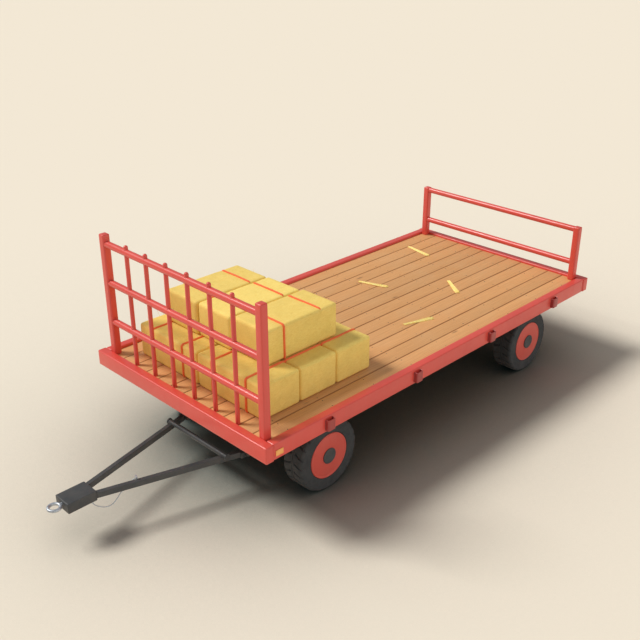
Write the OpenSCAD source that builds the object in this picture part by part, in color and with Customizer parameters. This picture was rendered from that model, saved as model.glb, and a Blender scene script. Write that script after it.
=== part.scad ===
// Four-wheeled flat hay wagon with a turntable front axle, an A-shaped drawbar,
// a tall front rack, a low rear rack and a load of nine small square bales.
// +X is forward, towards the tow eye, +Y is the wagon's left, and +Z is up.
// The origin is on the ground, halfway along the overall length.

/* [Deck frame] */
// Length of the deck frame over its end beams
frame_l = 5020; // [4000:10:6200]
// Width over the side rails
frame_w = 2440; // [2000:10:3000]
// Depth of the beams and rails around the deck
frame_d = 156; // [120:1:200]
// Thickness of those beams and rails
beam_t = 90; // [60:1:120]
// How far an end beam stands out past the side rails
beam_lip = 8; // [0:1:20]
// Radius along the long edges of the painted beams
beam_r = 10; // [2:1:16]

/* [Deck] */
// Number of planks across the deck
planks = 12; // [8:1:16]
// Thickness of a plank
plank_t = 35; // [20:1:50]
// Gap between two planks
plank_gap = 3; // [2:0.5:8]
// How far the planks lie below the top of the frame
deck_drop = 26; // [5:1:50]

/* [Underframe] */
// Number of cross members under the planks
joists = 9; // [5:1:13]
// Width of a cross member
joist_w = 50; // [40:1:80]
// Depth of a cross member
joist_d = 55; // [40:1:80]
// Depth of the two main rails under the cross members
main_d = 95; // [70:1:130]
// Width of every lengthwise and crosswise underframe rail
rail_w = 80; // [60:1:100]
// Distance from the middle of the wagon to a main rail
main_y = 400; // [300:5:480]

/* [Racks] */
// Side of a square corner post
post_w = 64; // [50:1:80]
// Gap between a post and the side rail beside it
post_gap = 15; // [5:1:40]
// Height of a front post above the deck
front_post_h = 1234; // [900:1:1500]
// Height of a rear post above the deck
rear_post_h = 641; // [400:1:900]
// Diameter of the level round rails of a rack
bar_d = 62; // [40:1:70]
// Heights of the front rack's rails above the deck
front_bar_h = [350, 753, 1140];
// Heights of the rear rack's rails above the deck
rear_bar_h = [211, 607];
// Diameter of an upright rod
rod_d = 37; // [20:1:45]
// Number of upright rods
rods = 6; // [2:1:8]
// Distance between two rods
rod_pitch = 295; // [200:1:330]
// Height of an upright rod above the deck
rod_h = 1212; // [1190:1:1300]

/* [Stake pockets] */
// Width of a pocket along the side rail
pocket_w = 90; // [70:1:120]
// How far a pocket stands out from the side rail
pocket_out = 40; // [30:1:60]
// Height of a pocket
pocket_h = 105; // [80:1:150]
// Wall thickness of a pocket
pocket_wall = 8; // [5:1:12]
// Distance between two pockets on one side
pocket_pitch = 1186; // [900:1:1400]
// Height of a pocket's lower end above the bottom of the frame
pocket_rise = 24; // [0:1:60]

/* [Reflectors] */
// Length, height and thickness of a side reflector
reflector = [83, 54, 6];
// Distance from the front of the frame to the reflector's middle
reflector_back = 152; // [80:1:400]
// Height of the reflector's middle above the bottom of the frame
reflector_up = 62; // [30:1:120]

/* [Wheels] */
// Outer radius of a tyre
tyre_r = 356; // [280:0.5:420]
// Width of a tyre
tyre_w = 240; // [190:1:280]
// Rounding of a tyre's shoulder
shoulder_r = 44; // [10:1:55]
// Outer radius of a steel rim
rim_r = 226; // [180:1:250]
// Thickness of a rim's disc and barrel
rim_t = 14; // [6:1:20]
// Radius of a hub cap
cap_r = 78; // [60:1:100]
// Radius of a hub
hub_r = 60; // [50:1:70]
// Thickness of a hub cap
cap_t = 9; // [4:1:20]
// Distance over the outer faces of two tyres on an axle
over_tyres = 2122; // [1800:1:2300]
// Distance between the front and rear axles
wheelbase = 3220; // [2600:10:4000]
// Side of a square axle beam
axle_t = 80; // [60:1:100]
// Radius of the spindle that a hub turns on
spindle_r = 30; // [20:1:40]

/* [Springs and turntable] */
// Distance between a spring's two eyes
spring_span = 660; // [500:1:800]
// Width of a leaf spring
spring_w = 60; // [40:1:70]
// Thickness of one leaf
leaf_t = 9; // [6:1:12]
// Height from an axle beam's top to the rail above it
spring_h = 105.5; // [95:0.5:140]
// Depth of the rails above the springs
sub_d = 80; // [60:1:100]
// Depth of the beams between those rails and the turntable
bolster_d = 80; // [60:1:100]
// Distance from an axle to each of those beams
bolster_x = 260; // [200:1:320]
// Middle radius of the turntable rings
ring_r = 400; // [330:1:450]
// Width of a turntable ring
ring_w = 60; // [40:1:80]
// Height of the fixed upper ring
ring_top_h = 25; // [15:1:40]
// Height of the turning lower ring
ring_low_h = 27.7; // [15:0.1:40]

/* [Drawbar] */
// Distance from the front axle to the drawbar's hinge
hinge_x = 470; // [420:1:600]
// Distance from the middle of the wagon to each hinge
hinge_y = 450; // [350:1:520]
// Height of the hinge above the ground
hinge_z = 329; // [280:1:380]
// Distance from the hinge to the coupling box
arm_reach = 1344; // [1000:1:1800]
// Distance from the middle of the wagon to each arm at the box
arm_y = 74; // [60:1:90]
// How far an arm rises from its hinge to the box
arm_rise = 33; // [0:1:80]
// Height of an arm
arm_h = 56; // [35:1:62]
// Width of an arm
arm_w = 44; // [30:1:46]
// Distance from the hinge to the cross tube
tube_x = 205; // [160:1:500]
// Radius of the cross tube
tube_r = 25; // [15:1:30]
// Radius of a hinge pin
pin_r = 15; // [10:1:20]
// Height of the coupling box's middle above the arms' middle
box_up = 3.5; // [-10:0.5:20]
// Length, width and height of the coupling box
box = [276, 198, 98];
// Radius from the tow eye's centre to the middle of its bar
eye_r = 50.5; // [40:0.5:70]
// Radius of the tow eye's bar
eye_bar_r = 14.5; // [10:0.5:20]
// Radius of the tow eye's hole
eye_hole_r = 38; // [30:0.5:50]
// Diameter of the safety cable
cable_d = 8; // [6:1:12]

/* [Bales] */
// Length, width and height of a bale
bale = [880, 452, 340];
// Rounding of a bale's edges
bale_r = 34; // [10:1:60]
// Gap between two bales in a layer
bale_gap = 4; // [1:1:20]
// Distance from the front of the frame to the lower bales
bale_front = 285; // [200:5:600]
// How far the lower bales' middle lies to the right
bale_shift = 14; // [0:1:60]
// How far the upper bales' middle lies to the right
upper_shift = 38; // [0:1:60]
// How far each upper bale's front lies behind the lower bales' front, from the left
upper_back = [262, 232, 220];

/* [Hidden] */

$fn = 48;
// clearances: a turning shaft, two pieces that only touch, two turning flat faces
fit = 0.05;
seat = 0.2;
slip = 0.3;
// overshoot of a cut past the face that it opens
over = 2;

// heights, stacked up from the ground
axle_top = tyre_r + axle_t/2;
sub_z = axle_top + spring_h;
bolster_z = sub_z + sub_d;
ring_z = bolster_z + bolster_d;
main_z = ring_z + ring_low_h + slip + ring_top_h;
joist_z = main_z + main_d;
plank_z = joist_z + joist_d;
deck_z = plank_z + plank_t;
frame_z = deck_z + deck_drop - frame_d;

// lengths, from the middle of the deck
inner_l = frame_l - 2*beam_t;
inner_w = frame_w - 2*beam_t;
axle_x = wheelbase/2;
post_x = inner_l/2 - post_w/2 - 0.5;
post_y = inner_w/2 - post_gap - post_w/2;
rack_w = 2*post_y - post_w;
wheel_y = over_tyres/2 - tyre_w/2;
spindle_l = 55;
pin_x = axle_x + hinge_x;
box_x = pin_x + arm_reach;
box_z = hinge_z + arm_rise + box_up;
eye_x = box_x + box[0] + eye_r + eye_bar_r + 6;
eye_z = box_z + 9;

// the middle of the overall length becomes the origin
mid_x = (eye_x + eye_r + eye_bar_r - frame_l/2)/2;

// spring shape: the main leaf's lower face is an arc through both eyes
eye_roll_r = 18;
eye_clear = 5.5;
leaves = 4;
leaf_step = 70;
spring_pin_r = 10;
spring_mid = (leaves - 1)*leaf_t;
spring_rise = spring_h - eye_clear - 2*eye_roll_r - spring_mid;
spring_r = (pow(spring_span/2, 2) + pow(spring_rise, 2))/(2*spring_rise);
hanger_t = 8;
hanger_w = 50;
hanger_gap = 1;
rail_past_eye = 60;
rail_past_lug = 15;
bolster_past = 10;

// hinge lugs on the bogie and the straight ends of the arms
lug_r = 35;
lug_t = 12;
lug_gap = 2;
boss_w = 50;
boss_r = 32;
arm_end_l = 70;
arm_start = 54;
arm_yaw = atan((arm_y - hinge_y)/arm_reach);
arm_plan = sqrt(pow(arm_reach, 2) + pow(hinge_y - arm_y, 2));
arm_pitch = atan(arm_rise/arm_plan);
tube_z = hinge_z + arm_rise*tube_x/arm_reach + arm_h/2;
tube_cap_r = 31;
tube_cap_l = 12;
tube_l = 2*(hinge_y + tan(arm_yaw)*tube_x + arm_w/2/cos(arm_yaw) - tube_cap_r*tan(arm_yaw) + 0.5);
shank_r = 16;
shank_in = 60;

bale_sides = 16;

// the upper and lower anchor of the safety cable, and the cable's route
anchor_back = 373;
anchor_w = 14;
anchor_h = 28;
anchor_hook = 20;
anchor_boss = [3470, 84, 10, 10];
cable_sides = 10;
cable_route = [
    [3470, 84, 309.5], [3467, 91, 298.5], [3460, 102, 288.5], [3448, 116, 279.5],
    [3431, 131, 271.5], [3410, 143, 262.5], [3386, 151, 255.5], [3360, 155, 251.5],
    [3332, 155, 251.5], [3305, 152, 257.5], [3280, 148, 269.5], [3258, 144, 284.5],
    [3236, 139, 299.5], [3212, 133, 311.5], [3186, 125, 316], [3160, 117, 324.5],
    [3136, 116, 334.5], [3114, 119, 347.5], [3094, 125, 362.5], [3076, 134, 378.5],
    [3060, 141, 392.5],
];

// ---------- shared shapes ----------

// rectangle with round corners, centred
module rounded_rect(w, h, r) {
    square([w - 2*r, h], center = true);
    square([w, h - 2*r], center = true);
    for (x = [-1, 1], y = [-1, 1])
        translate([x*(w/2 - r), y*(h/2 - r)]) circle(r);
}

// bar along X with its lowest face at z = 0
module bar_x(l, w, h, r)
    translate([0, 0, h/2]) rotate([90, 0, 90])
        linear_extrude(l, center = true) rounded_rect(w, h, r);

// bar along Y with its lowest face at z = 0
module bar_y(l, w, h, r)
    translate([0, 0, h/2]) rotate([90, 0, 0])
        linear_extrude(l, center = true) rounded_rect(w, h, r);

// round bar along Y, centred
module round_y(l, r) rotate([90, 0, 0]) cylinder(h = l, r = r, center = true);

// everything is drawn from the middle of the deck and moved to the origin here
module placed() translate([-mid_x, 0, 0]) children();

// ---------- deck frame ----------

module end_beam()
    translate([frame_l/2 - beam_t/2, 0, frame_z])
        bar_y(frame_w + 2*beam_lip, beam_t, frame_d, beam_r);

module front_beam() color("#d9483b") end_beam();

module rear_beam() color("#d9483b") mirror([1, 0, 0]) end_beam();

module side_rail()
    translate([0, frame_w/2 - beam_t/2, frame_z])
        bar_x(inner_l, beam_t, frame_d, beam_r);

module left_side_rail() color("#d9483b") side_rail();

module right_side_rail() color("#d9483b") mirror([0, 1, 0]) side_rail();

// the planks run lengthwise and share the width between the side rails
module deck_planks() {
    plank_w = (inner_w - 1 - (planks - 1)*plank_gap)/planks;
    color("#c99763")
        for (i = [0 : planks - 1])
            translate([0, (i - (planks - 1)/2)*(plank_w + plank_gap), plank_z])
                bar_x(inner_l - 1, plank_w, plank_t, 2);
}

module cross_members()
    color("#3a3a3c")
        for (i = [0 : joists - 1])
            translate([((i + 0.5)/joists - 0.5)*inner_l, 0, joist_z])
                bar_y(inner_w, joist_w, joist_d, 3);

module main_rails()
    color("#3a3a3c")
        for (s = [-1, 1])
            translate([0, s*main_y, main_z]) bar_x(inner_l, rail_w, main_d, 5);

// ---------- racks ----------

module post_pair(h)
    for (s = [-1, 1])
        translate([post_x, s*post_y, deck_z])
            linear_extrude(h) rounded_rect(post_w, post_w, 9);

module front_posts() color("#d9483b") post_pair(front_post_h);

module rear_posts() color("#d9483b") mirror([1, 0, 0]) post_pair(rear_post_h);

// the upright rods pass through the middle of the level rails
module front_rack_rails()
    color("#d9483b") difference() {
        for (h = front_bar_h)
            translate([post_x, 0, deck_z + h]) round_y(rack_w, bar_d/2);
        rod_row() cylinder(h = rod_h + over, r = rod_d/2 + fit);
    }

module rod_row()
    for (i = [0 : rods - 1])
        translate([post_x, (i - (rods - 1)/2)*rod_pitch, deck_z]) children();

module front_rack_rods()
    color("#d9483b") rod_row() {
        cylinder(h = rod_h - rod_d/2, r = rod_d/2);
        translate([0, 0, rod_h - rod_d/2]) sphere(rod_d/2);
    }

module rear_rack_rails()
    color("#d9483b")
        for (h = rear_bar_h)
            translate([-post_x, 0, deck_z + h]) round_y(rack_w, bar_d/2);

// ---------- side fittings ----------

// open-ended pocket for a loose stake, welded to the side rail
module stake_pocket() {
    bevel = 10;
    linear_extrude(pocket_h) difference() {
        polygon([
            [-pocket_w/2, 0], [-pocket_w/2, pocket_out - bevel],
            [-pocket_w/2 + bevel, pocket_out], [pocket_w/2 - bevel, pocket_out],
            [pocket_w/2, pocket_out - bevel], [pocket_w/2, 0],
        ]);
        translate([-pocket_w/2 + pocket_wall, -over])
            square([pocket_w - 2*pocket_wall, pocket_out - pocket_wall + over]);
    }
}

module pocket_row()
    for (i = [-1.5 : 1 : 1.5])
        translate([i*pocket_pitch, frame_w/2, frame_z + pocket_rise]) stake_pocket();

module left_stake_pockets() color("#b53a30") pocket_row();

module right_stake_pockets() color("#b53a30") mirror([0, 1, 0]) pocket_row();

module side_reflectors()
    color("#f79a3c")
        for (s = [-1, 1])
            translate([frame_l/2 - reflector_back, s*(frame_w + reflector[2])/2,
                       frame_z + reflector_up])
                rotate([90, 0, 0])
                    linear_extrude(reflector[2], center = true)
                        rounded_rect(reflector[0], reflector[1], 6);

// ---------- springs, axles and turntable ----------

// one leaf pack seen from the side, with its middle over the axle at [0, 0]
module spring_outline() {
    centre = spring_mid + spring_r;
    intersection() {
        for (i = [0 : leaves - 1])
            intersection() {
                translate([0, centre]) difference() {
                    circle(spring_r + i*leaf_t, $fn = 360);
                    circle(spring_r - leaf_t + i, $fn = 360);
                }
                translate([-spring_span/2 + i*leaf_step, 0])
                    square([spring_span - 2*i*leaf_step, spring_h]);
            }
    }
    for (s = [-1, 1])
        translate([s*spring_span/2, spring_h - eye_clear - eye_roll_r]) circle(eye_roll_r);
}

module spring_pair(x)
    color("#2f3032")
        for (s = [-1, 1])
            translate([x, s*hinge_y, axle_top])
                rotate([90, 0, 0]) linear_extrude(spring_w, center = true) difference() {
                    spring_outline();
                    for (e = [-1, 1])
                        translate([e*spring_span/2, spring_h - eye_clear - eye_roll_r])
                            circle(spring_pin_r + fit);
                }

// rail over a spring, with the plates and pins that hold the spring's eyes
module spring_rail(front_l, rear_l) {
    translate([(front_l - rear_l)/2, 0, sub_z]) bar_x(front_l + rear_l, rail_w, sub_d, 5);
    for (e = [-1, 1])
        translate([e*spring_span/2, 0, sub_z - eye_clear - eye_roll_r]) {
            for (s = [-1, 1])
                translate([0, s*(spring_w/2 + hanger_gap + hanger_t/2), 0]) {
                    round_y(hanger_t, hanger_w/2);
                    translate([-hanger_w/2, -hanger_t/2, 0])
                        cube([hanger_w, hanger_t, eye_roll_r + eye_clear + 1]);
                }
            round_y(spring_w + 2*hanger_gap + 2*hanger_t, spring_pin_r);
        }
}

// two beams across the spring rails
module bolster_pair(h)
    for (s = [-1, 1])
        translate([s*bolster_x, 0, bolster_z]) bar_y(2*(hinge_y + bolster_past) + rail_w, rail_w, h, 5);

// square beam with a round spindle at each end
module axle_beam(x)
    color("#2f3032") translate([x, 0, 0]) {
        translate([0, 0, tyre_r - axle_t/2]) bar_y(2*(wheel_y - tyre_w/3), axle_t, axle_t, 6);
        translate([0, 0, tyre_r]) round_y(2*(wheel_y + spindle_l), spindle_r);
    }

module upper_turntable_ring() turn_ring(main_z - ring_top_h, ring_top_h);

module lower_turntable_ring() turn_ring(ring_z, ring_low_h);

module turn_ring(z, h)
    color("#3a3a3c") translate([axle_x, 0, z])
        rotate_extrude($fn = 96)
            translate([ring_r - ring_w/2, 0]) square([ring_w, h]);

module rear_spring_rails()
    color("#3a3a3c")
        for (s = [-1, 1])
            translate([-axle_x, s*hinge_y, 0])
                spring_rail(spring_span/2 + rail_past_eye, spring_span/2 + rail_past_eye);

module rear_bolsters()
    color("#3a3a3c") translate([-axle_x, 0, 0]) bolster_pair(main_z - bolster_z);

module rear_springs() spring_pair(-axle_x);

module rear_axle() axle_beam(-axle_x);

module bogie_bolsters()
    color("#3a3a3c") translate([axle_x, 0, 0]) bolster_pair(bolster_d);

// the front ends of these rails carry the lugs of the drawbar hinge
module bogie_rails()
    color("#3a3a3c")
        for (s = [-1, 1])
            translate([axle_x, s*hinge_y, 0]) {
                spring_rail(hinge_x + lug_r + rail_past_lug, spring_span/2 + rail_past_eye);
                difference() {
                    for (e = [-1, 1])
                        translate([hinge_x, e*(boss_w/2 + lug_gap + lug_t/2), 0]) {
                            translate([0, 0, hinge_z]) round_y(lug_t, lug_r);
                            translate([-lug_r, -lug_t/2, hinge_z])
                                cube([2*lug_r, lug_t, sub_z - hinge_z + 1]);
                        }
                    translate([hinge_x, 0, hinge_z]) round_y(2*boss_w, pin_r + fit);
                }
            }

module front_springs() spring_pair(axle_x);

module front_axle() axle_beam(axle_x);

// ---------- drawbar ----------

module drawbar_hinge_pins() {
    grip = boss_w/2 + lug_gap + lug_t;
    color("#8d9094")
        for (s = [-1, 1])
            translate([pin_x, s*hinge_y, hinge_z]) {
                round_y(2*grip + 12, pin_r);
                for (e = [-1, 1])
                    translate([0, e*(grip + slip + 4), 0]) round_y(8, pin_r + 8);
            }
}

// children drawn along +X from the left hinge end up along the left arm
module along_arm()
    translate([pin_x, hinge_y, hinge_z]) rotate([0, -arm_pitch, arm_yaw]) children();

module drawbar_arms()
    color("#3c3c3e")
        for (s = [0, 1]) mirror([0, s, 0]) difference() {
            union() {
                translate([pin_x, hinge_y, hinge_z]) {
                    round_y(boss_w, boss_r);
                    translate([0, -boss_w/2, -arm_h/2]) cube([arm_end_l, boss_w, arm_h]);
                }
                along_arm() translate([arm_start + arm_plan/2, 0, -arm_h/2])
                    bar_x(arm_plan, arm_w, arm_h, 4);
            }
            translate([pin_x, hinge_y, hinge_z]) round_y(2*boss_w, pin_r + fit);
            translate([pin_x + tube_x, 0, tube_z]) round_y(tube_l + 2*tube_cap_l, tube_r + fit);
            translate([box_x, -box[1], 0]) cube([box[0] + arm_start + over, 2*box[1], 2*box_z]);
        }

module drawbar_cross_tube()
    color("#4a4a4c") translate([pin_x + tube_x, 0, tube_z]) {
        round_y(tube_l, tube_r);
        for (s = [-1, 1])
            translate([0, s*(tube_l + tube_cap_l)/2, 0]) round_y(tube_cap_l, tube_cap_r);
    }

module coupling_box()
    color("#444547") difference() {
        translate([box_x + box[0]/2, 0, box_z - box[2]/2]) bar_x(box[0], box[1], box[2], 12);
        translate([box_x + box[0] - shank_in - 1, 0, eye_z])
            rotate([0, 90, 0]) cylinder(h = shank_in + 1 + over, r = shank_r + fit);
    }

// forged ring on a round shank that is held in the coupling box
module tow_eye()
    color("#b4bac0") difference() {
        union() {
            translate([eye_x, 0, eye_z])
                rotate_extrude($fn = 72) translate([eye_r, 0]) circle(eye_bar_r);
            translate([box_x + box[0] - shank_in, 0, eye_z]) rotate([0, 90, 0])
                cylinder(h = eye_x - eye_r - box_x - box[0] + shank_in, r = shank_r);
        }
        translate([eye_x, 0, eye_z - 2*eye_bar_r]) cylinder(h = 4*eye_bar_r, r = eye_hole_r, $fn = 72);
    }

// a boss under the coupling box and a hooked bracket on the left arm
module cable_anchors()
    color("#3c3c3e") {
        translate([anchor_boss[0], anchor_boss[1], box_z - box[2]/2 - anchor_boss[3]])
            cylinder(h = anchor_boss[3], r = anchor_boss[2]);
        along_arm() translate([arm_plan - anchor_back, -arm_w/2, arm_h/2]) {
            cube([anchor_w, anchor_hook/2, anchor_h]);
            translate([0, -anchor_hook, anchor_h/2])
                cube([anchor_w, 1.5*anchor_hook, anchor_h/2]);
        }
    }

// unit vector along the route at point i
function along(p, i) =
    let (d = p[min(i + 1, len(p) - 1)] - p[max(i - 1, 0)]) d/norm(d);

// ring of points round the route at point i, square to the route
function cable_ring(p, i) =
    let (t = along(p, i), u0 = cross(t, [0.3, 0.9, 0.2]), u = u0/norm(u0), v = cross(t, u))
    [for (k = [0 : cable_sides - 1])
        p[i] + cable_d/2*(cos(360*k/cable_sides)*u + sin(360*k/cable_sides)*v)];

module safety_cable() {
    n = cable_sides;
    last = len(cable_route) - 1;
    rings = [for (i = [0 : last]) each cable_ring(cable_route, i)];
    walls = [for (i = [0 : last - 1], k = [0 : n - 1])
        each [[i*n + k, (i + 1)*n + k, i*n + (k + 1) % n],
              [(i + 1)*n + k, (i + 1)*n + (k + 1) % n, i*n + (k + 1) % n]]];
    start = [for (k = [0 : n - 1]) k];
    end = [for (k = [n - 1 : -1 : 0]) last*n + k];
    color("#aab0b6") polyhedron(points = rings, faces = concat(walls, [start, end]));
}

// ---------- wheels ----------

// side is 1 for a left wheel and -1 for a right one, whose outer face looks along -Y
module wheel_place(x, side)
    translate([x, side*wheel_y, tyre_r]) rotate([-90*side, 0, 0]) children();

module tyre() {
    bead = 8;
    low = rim_r + seat;
    color("#303133") rotate_extrude($fn = 120) {
        translate([low + bead, -tyre_w/2])
            square([tyre_r - shoulder_r - low - bead, tyre_w]);
        translate([low, -tyre_w/2 + shoulder_r])
            square([tyre_r - low, tyre_w - 2*shoulder_r]);
        translate([low, -tyre_w/2 + bead]) square([shoulder_r, tyre_w - 2*bead]);
        for (s = [-1, 1]) {
            translate([tyre_r - shoulder_r, s*(tyre_w/2 - shoulder_r)]) circle(shoulder_r);
            translate([low + bead, s*(tyre_w/2 - bead)]) circle(bead);
        }
    }
}

// welded steel barrel closed near its outer end by a flat disc
module rim() {
    face = tyre_w/2 - 1;
    color("#cf4238") rotate_extrude($fn = 96) {
        translate([rim_r - rim_t, 10 - tyre_w/2]) square([rim_t, tyre_w - 11]);
        translate([hub_r + seat, face - rim_t]) square([rim_r - hub_r - seat, rim_t]);
    }
}

// hub with a blind bearing bore at its inner end and a cap over the disc
module hub() {
    face = tyre_w/2 - 1;
    inner = -tyre_w/3 + 5;
    color("#3f4244") difference() {
        union() {
            translate([0, 0, inner]) cylinder(h = face - inner + 1, r = hub_r);
            translate([0, 0, face + seat]) cylinder(h = cap_t, r = cap_r);
        }
        translate([0, 0, inner - over]) cylinder(h = spindle_l + 4 + over - inner, r = spindle_r + fit);
    }
}

module front_left_tyre() wheel_place(axle_x, 1) tyre();
module front_left_rim() wheel_place(axle_x, 1) rim();
module front_left_hub() wheel_place(axle_x, 1) hub();
module front_right_tyre() wheel_place(axle_x, -1) tyre();
module front_right_rim() wheel_place(axle_x, -1) rim();
module front_right_hub() wheel_place(axle_x, -1) hub();
module rear_left_tyre() wheel_place(-axle_x, 1) tyre();
module rear_left_rim() wheel_place(-axle_x, 1) rim();
module rear_left_hub() wheel_place(-axle_x, 1) hub();
module rear_right_tyre() wheel_place(-axle_x, -1) tyre();
module rear_right_rim() wheel_place(-axle_x, -1) rim();
module rear_right_hub() wheel_place(-axle_x, -1) hub();

// ---------- bales ----------

// block with rounded edges, centred in plan, standing on z = 0
module bale_block(l, w)
    hull()
        for (x = [-1, 1], y = [-1, 1], z = [0, 1])
            translate([x*(l/2 - bale_r), y*(w/2 - bale_r), bale_r + z*(bale[2] - 2*bale_r)])
                sphere(bale_r/cos(180/bale_sides), $fn = bale_sides);

// three rows of two bales, lying across the wagon
module lower_bales() {
    front = frame_l/2 - bale_front;
    color("#dcb04a")
        for (i = [0 : 2], s = [-1, 1])
            translate([front - bale[1]/2 - i*(bale[1] + bale_gap),
                       s*(bale[0] + bale_gap)/2 - bale_shift, deck_z])
                bale_block(bale[1], bale[0]);
}

// three bales side by side, lying along the wagon on top of the others
module upper_bales() {
    front = frame_l/2 - bale_front;
    pitch = bale[1] + bale_gap;
    color("#e3b84f")
        for (i = [0 : 2])
            translate([front - upper_back[i] - bale[0]/2,
                       (1 - i)*pitch - upper_shift, deck_z + bale[2]])
                bale_block(bale[0], bale[1]);
}

placed() front_beam();
placed() rear_beam();
placed() left_side_rail();
placed() right_side_rail();
placed() deck_planks();
placed() cross_members();
placed() main_rails();
placed() front_posts();
placed() front_rack_rails();
placed() front_rack_rods();
placed() rear_posts();
placed() rear_rack_rails();
placed() left_stake_pockets();
placed() right_stake_pockets();
placed() side_reflectors();
placed() upper_turntable_ring();
placed() rear_spring_rails();
placed() rear_bolsters();
placed() rear_springs();
placed() rear_axle();
placed() lower_bales();
placed() upper_bales();
placed() lower_turntable_ring();
placed() bogie_bolsters();
placed() bogie_rails();
placed() front_springs();
placed() front_axle();
placed() drawbar_hinge_pins();
placed() drawbar_arms();
placed() drawbar_cross_tube();
placed() coupling_box();
placed() tow_eye();
placed() cable_anchors();
placed() safety_cable();
placed() front_left_tyre();
placed() front_left_rim();
placed() front_left_hub();
placed() front_right_tyre();
placed() front_right_rim();
placed() front_right_hub();
placed() rear_left_tyre();
placed() rear_left_rim();
placed() rear_left_hub();
placed() rear_right_tyre();
placed() rear_right_rim();
placed() rear_right_hub();
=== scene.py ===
"""Looks of a four-wheeled hay wagon: red plank-decked flat bed with racks, bales and a drawbar.

Everything is in metres, in the part's frame: +X forward, +Y to the wagon's left, +Z up.
"""

import math

import bmesh
import bpy
import numpy as np
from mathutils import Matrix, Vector


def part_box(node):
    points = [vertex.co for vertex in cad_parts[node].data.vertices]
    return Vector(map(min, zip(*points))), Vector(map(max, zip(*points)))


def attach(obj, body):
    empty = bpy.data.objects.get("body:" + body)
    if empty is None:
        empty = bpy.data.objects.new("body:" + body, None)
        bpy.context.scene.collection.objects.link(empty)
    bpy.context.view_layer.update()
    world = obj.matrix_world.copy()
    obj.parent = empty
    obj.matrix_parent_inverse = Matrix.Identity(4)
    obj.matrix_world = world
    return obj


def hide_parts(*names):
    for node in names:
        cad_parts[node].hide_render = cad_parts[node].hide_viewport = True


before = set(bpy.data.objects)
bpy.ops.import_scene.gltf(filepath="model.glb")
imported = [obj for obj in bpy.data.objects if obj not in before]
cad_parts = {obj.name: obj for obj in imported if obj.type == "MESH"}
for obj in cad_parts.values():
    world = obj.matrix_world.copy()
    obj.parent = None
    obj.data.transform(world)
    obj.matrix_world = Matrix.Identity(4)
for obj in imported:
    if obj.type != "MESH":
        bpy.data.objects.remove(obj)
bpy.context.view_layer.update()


# ---------- camera ----------
# A 50 mm lens above and to the left of the wagon's front, turned by plain yaw and pitch.
# The middle of the deck is the point that its place is measured from.

deck_low, deck_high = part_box("left_side_rail")
deck_middle_x = (deck_low.x + deck_high.x) / 2
camera_place = Vector((deck_middle_x + 6.432, 5.753, 4.9325))
camera_yaw, camera_pitch = math.radians(224.94), math.radians(-25.55)

camera_data = bpy.data.cameras.new("camera")
camera_data.lens = 50
camera_data.sensor_width = 36
camera = bpy.data.objects.new("camera", camera_data)
bpy.context.scene.collection.objects.link(camera)
camera.location = camera_place
sight = Vector((
    math.cos(camera_pitch) * math.cos(camera_yaw),
    math.cos(camera_pitch) * math.sin(camera_yaw),
    math.sin(camera_pitch),
))
camera.rotation_euler = sight.to_track_quat("-Z", "Y").to_euler()
bpy.context.scene.camera = camera


# ---------- safety cable ----------
# A thin galvanised wire rope, held at both ends: under the coupling box and at a small
# bracket on the left arm. It dips below the arm between the two.

def material(name, colour, roughness, metallic=0.0):
    """A new material with its colour, roughness and metalness on the shader's own sockets."""
    made = bpy.data.materials.new(name)
    made.use_nodes = True
    shader = made.node_tree.nodes["Principled BSDF"]
    shader.inputs["Base Color"].default_value = (*colour, 1)
    shader.inputs["Roughness"].default_value = roughness
    shader.inputs["Metallic"].default_value = metallic
    return made, made.node_tree, shader


def feed(node, **values):
    """Feeds a node. An output is linked to the socket of that name and a constant is set on
    it, and a name that is no socket is a setting of the node."""
    for key, value in values.items():
        label = key.replace("_", " ")
        if isinstance(value, bpy.types.NodeSocket):
            node.id_data.links.new(value, node.inputs[label])
        elif label in node.inputs:
            node.inputs[label].default_value = value
        else:
            setattr(node, key, value)
    return node


def add(tree, kind, **values):
    """Adds a node and feeds it."""
    return feed(tree.nodes.new("ShaderNode" + kind), **values)


def in_order(tree, kind, *values, **settings):
    """Adds a node whose first sockets get an output or a constant each, in their order."""
    made = add(tree, kind, **settings)
    for socket, value in zip(made.inputs, values):
        if isinstance(value, bpy.types.NodeSocket):
            tree.links.new(value, socket)
        else:
            socket.default_value = value
    return made.outputs[0]


def place_of(tree, scale=(1, 1, 1), turn=(0, 0, 0)):
    """Object coordinates in metres, stretched and turned: the output that patterns read."""
    where = add(tree, "TexCoord").outputs["Object"]
    return add(tree, "Mapping", Vector=where, Scale=scale, Rotation=turn).outputs["Vector"]


def noise(tree, vector, scale, detail=4.0, rough=0.55):
    """Fractal noise from 0 to 1 over the given coordinates."""
    made = add(tree, "TexNoise", Vector=vector, Scale=scale, Detail=detail, Roughness=rough)
    return made.outputs["Fac"]


def ramp(tree, value, stops):
    """Colours or greys spread over a value: stops is a list of (position, colour)."""
    made = add(tree, "ValToRGB", Fac=value)
    elements = made.color_ramp.elements
    while len(elements) < len(stops):
        elements.new(0.5)
    for element, (position, colour) in zip(elements, stops):
        element.position = position
        shade = (colour,) * 3 if isinstance(colour, float) else colour
        element.color = (*shade, 1)
    return made.outputs["Color"]


def mix(tree, factor, first, second, blend="MIX"):
    """Mixes two colours. A factor, or a colour, is an output or a constant."""
    first, second = ((*value, 1) if isinstance(value, tuple) else value for value in (first, second))
    made = add(tree, "MixRGB", blend_type=blend, Fac=factor, Color1=first, Color2=second)
    return made.outputs["Color"]


def bump(tree, shader, height, strength, distance):
    """Feeds a height to the shader's normal, after any bump that is there already."""
    made = add(tree, "Bump", Height=height, Strength=strength, Distance=distance)
    for before in shader.inputs["Normal"].links:
        feed(made, Normal=before.from_socket)
    feed(shader, Normal=made.outputs["Normal"])


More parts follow.
